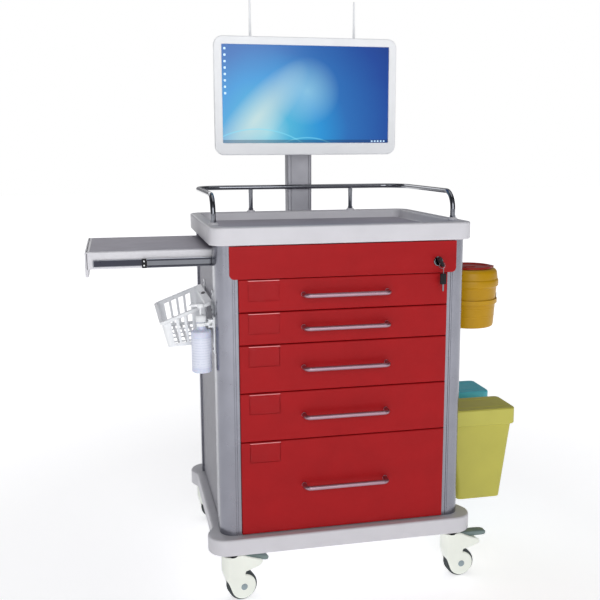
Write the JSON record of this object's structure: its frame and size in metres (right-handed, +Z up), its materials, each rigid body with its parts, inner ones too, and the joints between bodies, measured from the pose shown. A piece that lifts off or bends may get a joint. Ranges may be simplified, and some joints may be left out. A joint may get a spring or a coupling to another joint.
{
  "type": "crash cart",
  "caption": "Wheeled emergency cart with stacked drawers, guard-railed worktop, pull-out side shelf, screen on a rear post, sharps tub, lidded bins, basket and pump bottle.",
  "frame": {"origin": "on the floor, under the middle of the whole object's box in X and Y", "axes": "+Z up, the longest extent; +X to the user's right; the drawers open towards -Y, and Y is the shortest extent"},
  "size_m": [1.127, 0.594, 1.528],
  "materials": {
    "shell": "light grey moulded ABS, fine satin texture",
    "red": "red moulded ABS, satin gloss",
    "panel": "mid grey moulded panel, fine texture",
    "aluminium": "satin anodised extrusion",
    "chrome": "polished plating",
    "steel": "zinc-plated sheet",
    "liner": "light grey moulded tray",
    "white": "white moulded plastic, satin",
    "screen": "display glass over a lit picture",
    "black": "black moulded plastic",
    "bottle": "translucent bluish white bottle",
    "sharps_yellow": "yellow moulded polypropylene",
    "sharps_red": "red moulded polypropylene",
    "bin_lime": "yellow-green moulded polypropylene",
    "bin_blue": "blue moulded polypropylene",
    "caster": "ivory moulded nylon",
    "tyre": "dark grey tread",
    "pedal": "grey-green moulded pedal"
  },
  "bodies": {
    "cabinet": {"base": "shell", "worktop": "shell", "column_front_left": "aluminium", "column_front_right": "aluminium", "column_rear_left": "aluminium", "column_rear_right": "aluminium", "left_panel": "panel", "right_panel": "panel", "back_panel": "panel", "guard_rail": "chrome", "lock_panel": "red", "shelf_carrier": "steel", "monitor_post": "aluminium", "bottle_bracket": "white", "bin_rail": "aluminium", "sharps_holder": "sharps_yellow"},
    "lock": {"lock_cylinder": "chrome"},
    "drawer_1": {"drawer_1_front": "red", "drawer_1_box": "liner", "drawer_1_handle": "chrome"},
    "drawer_2": {"drawer_2_front": "red", "drawer_2_box": "liner", "drawer_2_handle": "chrome"},
    "drawer_3": {"drawer_3_front": "red", "drawer_3_box": "liner", "drawer_3_handle": "chrome"},
    "drawer_4": {"drawer_4_front": "red", "drawer_4_box": "liner", "drawer_4_handle": "chrome"},
    "drawer_5": {"drawer_5_front": "red", "drawer_5_box": "liner", "drawer_5_handle": "chrome"},
    "shelf": {"side_shelf": "shell"},
    "shelf_middle_members": {"shelf_slide_front": "chrome", "shelf_slide_rear": "chrome"},
    "basket": {"basket": "white"},
    "bottle": {"bottle": "bottle"},
    "pump": {"bottle_pump": "white"},
    "sharps_tub": {"sharps_tub": "sharps_yellow"},
    "sharps_lid": {"sharps_lid": "sharps_red"},
    "bin_front": {"bin_front": "bin_lime"},
    "bin_front_lid": {"bin_front_lid": "bin_lime"},
    "bin_rear": {"bin_rear": "bin_blue"},
    "bin_rear_lid": {"bin_rear_lid": "bin_blue"},
    "swivel": {"tilt_head": "black"},
    "monitor": {"monitor_back": "white", "monitor_bezel": "white", "monitor_screen": "screen"},
    "aerial_left": {"aerial_left": "white"},
    "aerial_right": {"aerial_right": "white"},
    "caster_front_left": {"caster_front_left_fork": "caster"},
    "wheel_front_left": {"caster_front_left_wheel": "tyre"},
    "caster_front_right": {"caster_front_right_fork": "caster"},
    "wheel_front_right": {"caster_front_right_wheel": "tyre"},
    "caster_rear_left": {"caster_rear_left_fork": "caster"},
    "wheel_rear_left": {"caster_rear_left_wheel": "tyre"},
    "caster_rear_right": {"caster_rear_right_fork": "caster"},
    "wheel_rear_right": {"caster_rear_right_wheel": "tyre"},
    "pedal_front_left": {"caster_front_left_pedal": "pedal"},
    "pedal_front_right": {"caster_front_right_pedal": "pedal"}
  },
  "joints": [
    {"name": "drawer_1_slide", "type": "slide", "parent": "cabinet", "child": "drawer_1", "axis": [0, -1, 0], "range_m": [0, 0.38]},
    {"name": "drawer_2_slide", "type": "slide", "parent": "cabinet", "child": "drawer_2", "axis": [0, -1, 0], "range_m": [0, 0.38]},
    {"name": "drawer_3_slide", "type": "slide", "parent": "cabinet", "child": "drawer_3", "axis": [0, -1, 0], "range_m": [0, 0.38]},
    {"name": "drawer_4_slide", "type": "slide", "parent": "cabinet", "child": "drawer_4", "axis": [0, -1, 0], "range_m": [0, 0.38]},
    {"name": "drawer_5_slide", "type": "slide", "parent": "cabinet", "child": "drawer_5", "axis": [0, -1, 0], "range_m": [0, 0.38]},
    {"name": "lock_turn", "type": "hinge", "parent": "cabinet", "child": "lock", "pos_m": [0.2845, -0.257, 0.843], "axis": [0, 1, 0], "range_deg": [0, 90]},
    {"name": "shelf_slide", "type": "slide", "parent": "cabinet", "child": "shelf", "axis": [1, 0, 0], "range_m": [0, 0.283]},
    {"name": "shelf_middle_slide", "type": "slide", "parent": "cabinet", "child": "shelf_middle_members", "axis": [1, 0, 0], "range_m": [0, 0.166]},
    {"name": "basket_swing", "type": "hinge", "parent": "cabinet", "child": "basket", "pos_m": [-0.2725, -0.031, 0.748], "axis": [0, 1, 0], "range_deg": [0, 40]},
    {"name": "bottle_draw", "type": "slide", "parent": "cabinet", "child": "bottle", "axis": [-1, 0, 0], "range_m": [0, 0.06]},
    {"name": "pump_press", "type": "slide", "parent": "bottle", "child": "pump", "axis": [0, 0, -1], "range_m": [0, 0.012], "stiffness_N_per_m": 300},
    {"name": "sharps_tub_lift", "type": "slide", "parent": "cabinet", "child": "sharps_tub", "axis": [0, 0, 1], "range_m": [0, 0.085]},
    {"name": "sharps_lid_hinge", "type": "hinge", "parent": "sharps_tub", "child": "sharps_lid", "pos_m": [0.385, -0.082, 0.8013], "axis": [0, -1, 0], "range_deg": [0, 85]},
    {"name": "bin_front_lift", "type": "slide", "parent": "cabinet", "child": "bin_front", "axis": [0, 0, 1], "range_m": [0, 0.02]},
    {"name": "bin_front_lid_hinge", "type": "hinge", "parent": "bin_front", "child": "bin_front_lid", "pos_m": [0.3711, -0.099, 0.4153], "axis": [0, -1, 0], "range_deg": [0, 88]},
    {"name": "bin_rear_lift", "type": "slide", "parent": "cabinet", "child": "bin_rear", "axis": [0, 0, 1], "range_m": [0, 0.02]},
    {"name": "bin_rear_lid_hinge", "type": "hinge", "parent": "bin_rear", "child": "bin_rear_lid", "pos_m": [0.3711, 0.072, 0.4153], "axis": [0, -1, 0], "range_deg": [0, 88]},
    {"name": "monitor_swivel", "type": "hinge", "parent": "cabinet", "child": "swivel", "pos_m": [0.0495, 0.236, 1.261], "axis": [0, 0, 1], "range_deg": [-45, 45]},
    {"name": "monitor_tilt", "type": "hinge", "parent": "swivel", "child": "monitor", "pos_m": [0.0495, 0.212, 1.261], "axis": [-1, 0, 0], "range_deg": [-5, 20]},
    {"name": "aerial_left_fold", "type": "hinge", "parent": "monitor", "child": "aerial_left", "pos_m": [-0.1005, 0.21, 1.398], "axis": [0, 1, 0], "range_deg": [-90, 90]},
    {"name": "aerial_right_fold", "type": "hinge", "parent": "monitor", "child": "aerial_right", "pos_m": [0.1995, 0.21, 1.398], "axis": [0, 1, 0], "range_deg": [-90, 90]},
    {"name": "caster_front_left_swivel", "type": "hinge", "parent": "cabinet", "child": "caster_front_left", "pos_m": [-0.2405, -0.252, 0.11], "axis": [0, 0, 1], "continuous": true},
    {"name": "wheel_front_left_roll", "type": "hinge", "parent": "caster_front_left", "child": "wheel_front_left", "pos_m": [-0.21507, -0.24659, 0.0375], "axis": [-0.2079, 0.9781, 0], "continuous": true},
    {"name": "caster_front_right_swivel", "type": "hinge", "parent": "cabinet", "child": "caster_front_right", "pos_m": [0.3395, -0.252, 0.11], "axis": [0, 0, 1], "continuous": true},
    {"name": "wheel_front_right_roll", "type": "hinge", "parent": "caster_front_right", "child": "wheel_front_right", "pos_m": [0.36548, -0.25109, 0.0375], "axis": [-0.0349, 0.9994, 0], "continuous": true},
    {"name": "caster_rear_left_swivel", "type": "hinge", "parent": "cabinet", "child": "caster_rear_left", "pos_m": [-0.2525, 0.238, 0.11], "axis": [0, 0, 1], "continuous": true},
    {"name": "wheel_rear_left_roll", "type": "hinge", "parent": "caster_rear_left", "child": "wheel_rear_left", "pos_m": [-0.22777, 0.24603, 0.0375], "axis": [-0.309, 0.9511, 0], "continuous": true},
    {"name": "caster_rear_right_swivel", "type": "hinge", "parent": "cabinet", "child": "caster_rear_right", "pos_m": [0.3515, 0.238, 0.11], "axis": [0, 0, 1], "continuous": true},
    {"name": "wheel_rear_right_roll", "type": "hinge", "parent": "caster_rear_right", "child": "wheel_rear_right", "pos_m": [0.37623, 0.24603, 0.0375], "axis": [-0.309, 0.9511, 0], "continuous": true},
    {"name": "pedal_front_left_press", "type": "hinge", "parent": "caster_front_left", "child": "pedal_front_left", "pos_m": [-0.20724, -0.24493, 0.113], "axis": [-0.2079, 0.9781, 0], "range_deg": [-14, 0]},
    {"name": "pedal_front_right_press", "type": "hinge", "parent": "caster_front_right", "child": "pedal_front_right", "pos_m": [0.37348, -0.25081, 0.113], "axis": [-0.0349, 0.9994, 0], "range_deg": [0, 14]}
  ],
  "couplings": [
    {"joint": "shelf_middle_slide", "follows": "shelf_slide", "ratio": 0.583}
  ]
}
